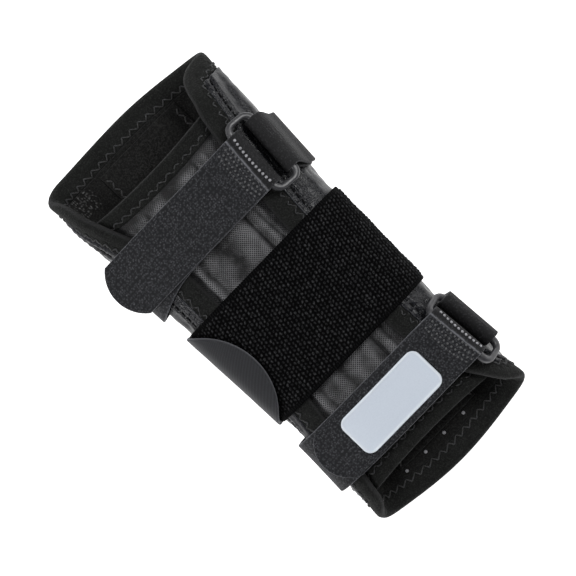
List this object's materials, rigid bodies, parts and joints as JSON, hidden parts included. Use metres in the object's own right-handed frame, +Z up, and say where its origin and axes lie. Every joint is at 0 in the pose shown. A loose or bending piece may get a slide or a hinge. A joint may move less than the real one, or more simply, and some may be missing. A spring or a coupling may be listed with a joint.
{
  "type": "wrist guard",
  "caption": "Padded wrist guard with a mesh front, leather sides, an inner palm stay, a wide elastic band and hook-and-loop straps that turn back through plastic rings",
  "frame": {"origin": "middle of the footprint on the surface that the guard lies on, back down", "axes": "+Y towards the forearm end, +X towards the ring side, +Z up through the open front"},
  "size_m": [0.098, 0.196, 0.0402],
  "materials": {
    "leather": "smooth black synthetic leather with a soft sheen",
    "neoprene": "fabric-faced black neoprene, matt",
    "brushed_lining": "brushed black lining cloth",
    "mesh_fabric": "open woven stretch mesh, dark grey",
    "loop_elastic": "knitted loop-pile elastic, black",
    "hook_tab_cloth": "smooth woven tab cloth, blue-black",
    "strap_webbing": "knitted charcoal webbing",
    "hook_tape": "moulded hook tape, black",
    "ring_plastic": "moulded dark grey plastic, satin",
    "stay_metal": "bare aluminium strip",
    "label_rubber": "plain pale grey-blue moulded patch"
  },
  "bodies": {
    "sleeve": {"facing_forearm_end": "neoprene", "facing_hand_end": "neoprene", "facing_left": "neoprene", "facing_right": "neoprene", "lining": "brushed_lining", "lower_ring_anchor": "strap_webbing", "lower_strap_base": "strap_webbing", "mesh_bottom_binding": "neoprene", "mesh_panel": "mesh_fabric", "mesh_top_binding": "neoprene", "mid_band": "loop_elastic", "outer_back_panel": "neoprene", "side_panel_left": "leather", "side_panel_right": "leather", "stay_pocket": "brushed_lining", "upper_ring_anchor": "strap_webbing", "upper_strap_base": "strap_webbing"},
    "upper_ring": {"upper_ring": "ring_plastic"},
    "upper_strap": {"upper_strap_tab": "strap_webbing", "upper_hook_tape": "hook_tape"},
    "lower_ring": {"lower_ring": "ring_plastic"},
    "lower_strap": {"lower_strap_tab": "strap_webbing", "lower_hook_tape": "hook_tape", "label_patch": "label_rubber"},
    "mid_tab": {"mid_tab": "hook_tab_cloth", "mid_hook_tape": "hook_tape"},
    "palm_stay": {"palm_stay": "stay_metal"}
  },
  "joints": [
    {"name": "upper_ring_swing", "type": "hinge", "parent": "sleeve", "child": "upper_ring", "pos_m": [0.03899, 0.0454, 0.0316], "axis": [0.0822, 0.9962, -0.029], "range_deg": [0, 40]},
    {"name": "upper_strap_peel", "type": "hinge", "parent": "upper_ring", "child": "upper_strap", "pos_m": [0.02824, 0.0454, 0.03539], "axis": [0.0822, 0.9962, -0.029], "range_deg": [0, 135]},
    {"name": "lower_ring_swing", "type": "hinge", "parent": "sleeve", "child": "lower_ring", "pos_m": [0.04282, -0.0586, 0.02463], "axis": [-0.069, 0.9954, 0.0665], "range_deg": [0, 40]},
    {"name": "lower_strap_peel", "type": "hinge", "parent": "lower_ring", "child": "lower_strap", "pos_m": [0.03461, -0.0586, 0.03254], "axis": [-0.069, 0.9954, 0.0665], "range_deg": [0, 135]},
    {"name": "mid_tab_peel", "type": "hinge", "parent": "sleeve", "child": "mid_tab", "pos_m": [-0.03941, -0.0098, 0.01577], "axis": [0.0294, -0.9995, -0.0125], "range_deg": [0, 120]},
    {"name": "stay_slide", "type": "slide", "parent": "sleeve", "child": "palm_stay", "axis": [0, 1, 0], "range_m": [0, 0.165]}
  ]
}
